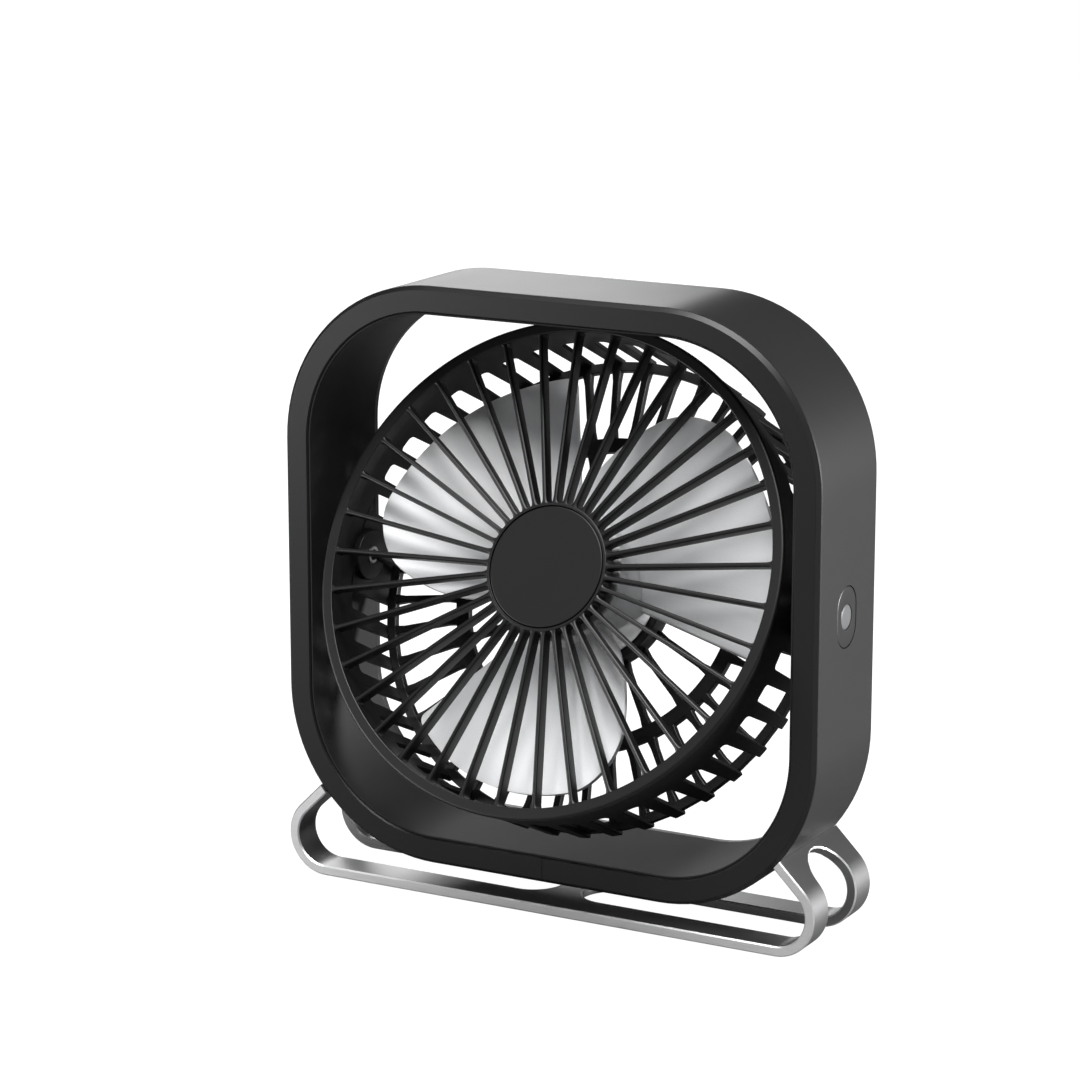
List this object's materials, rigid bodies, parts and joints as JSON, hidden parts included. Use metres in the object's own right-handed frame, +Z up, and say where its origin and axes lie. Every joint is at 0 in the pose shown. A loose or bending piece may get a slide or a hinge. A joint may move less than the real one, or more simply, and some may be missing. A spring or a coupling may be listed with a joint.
{
  "type": "desk fan",
  "caption": "Desk fan: a round caged fan head that tilts on side pivots inside a rounded-square frame, on a bent metal strip stand.",
  "frame": {"origin": "on the desk, under the middle of the frame", "axes": "+Z up, -Y is the side the fan blows towards, +X to the right of a person facing the fan"},
  "size_m": [0.171, 0.0952, 0.1799],
  "materials": {
    "frame_black": "finely grained moulded plastic",
    "button_black": "satin moulded plastic",
    "grille_black": "satin moulded plastic",
    "strip_metal": "satin anodised strip with bright chamfers",
    "impeller_grey": "light grey, slightly see-through",
    "lens_clear": "milky light guide",
    "pad_rubber": "matt",
    "steel": "plain",
    "inlet_metal": "drawn",
    "bush_nylon": "plain",
    "clamp_metal": "as cast",
    "board_green": "solder mask",
    "chip_black": "plain",
    "plunger_white": "plain",
    "copper": "enamelled copper wire",
    "magnet_dark": "sintered",
    "lead_sheath": "soft sheath"
  },
  "bodies": {
    "frame": {"frame_shell": "frame_black", "frame_liner": "frame_black", "front_bezel": "frame_black", "frame_screws": "steel", "stand": "strip_metal", "stand_clamps": "clamp_metal", "stand_screws": "steel", "foot_pads": "pad_rubber", "pivot_bush_left": "bush_nylon", "pivot_bush_right": "bush_nylon", "control_board": "board_green", "board_parts": "chip_black", "board_screws": "steel", "tact_switch": "chip_black", "power_led": "plunger_white", "power_inlet": "inlet_metal", "inlet_board": "board_green", "frame_lead": "lead_sheath", "inlet_lead": "lead_sheath"},
    "head": {"front_grille": "grille_black", "hub_cap": "grille_black", "rear_cage": "grille_black", "motor_cover": "grille_black", "motor_base": "clamp_metal", "motor_screws": "steel", "motor_board": "board_green", "stator_core": "steel", "stator_coils": "copper", "bearing_front": "steel", "bearing_rear": "steel", "pivot_pin_left": "steel", "pivot_pin_right": "steel", "pin_clip": "steel", "friction_discs": "bush_nylon", "wave_washers": "steel", "motor_lead": "lead_sheath"},
    "rotor": {"impeller": "impeller_grey", "rotor_shaft": "steel", "shaft_clip": "steel", "thrust_washer": "bush_nylon", "rotor_yoke": "steel", "magnet_ring": "magnet_dark"},
    "button": {"power_button": "button_black", "button_lens": "lens_clear", "switch_plunger": "plunger_white"}
  },
  "joints": [
    {"name": "head_tilt", "type": "hinge", "parent": "frame", "child": "head", "pos_m": [0, 0, 0.0949], "axis": [-1, 0, 0], "range_deg": [-55, 65]},
    {"name": "impeller_spin", "type": "hinge", "parent": "head", "child": "rotor", "pos_m": [0, 0, 0.0949], "axis": [0, -0.9063, 0.4226], "continuous": true},
    {"name": "button_press", "type": "slide", "parent": "frame", "child": "button", "axis": [-1, 0, 0], "range_m": [0, 0.0006], "stiffness_N_per_m": 600, "springref_m": -0.001}
  ]
}
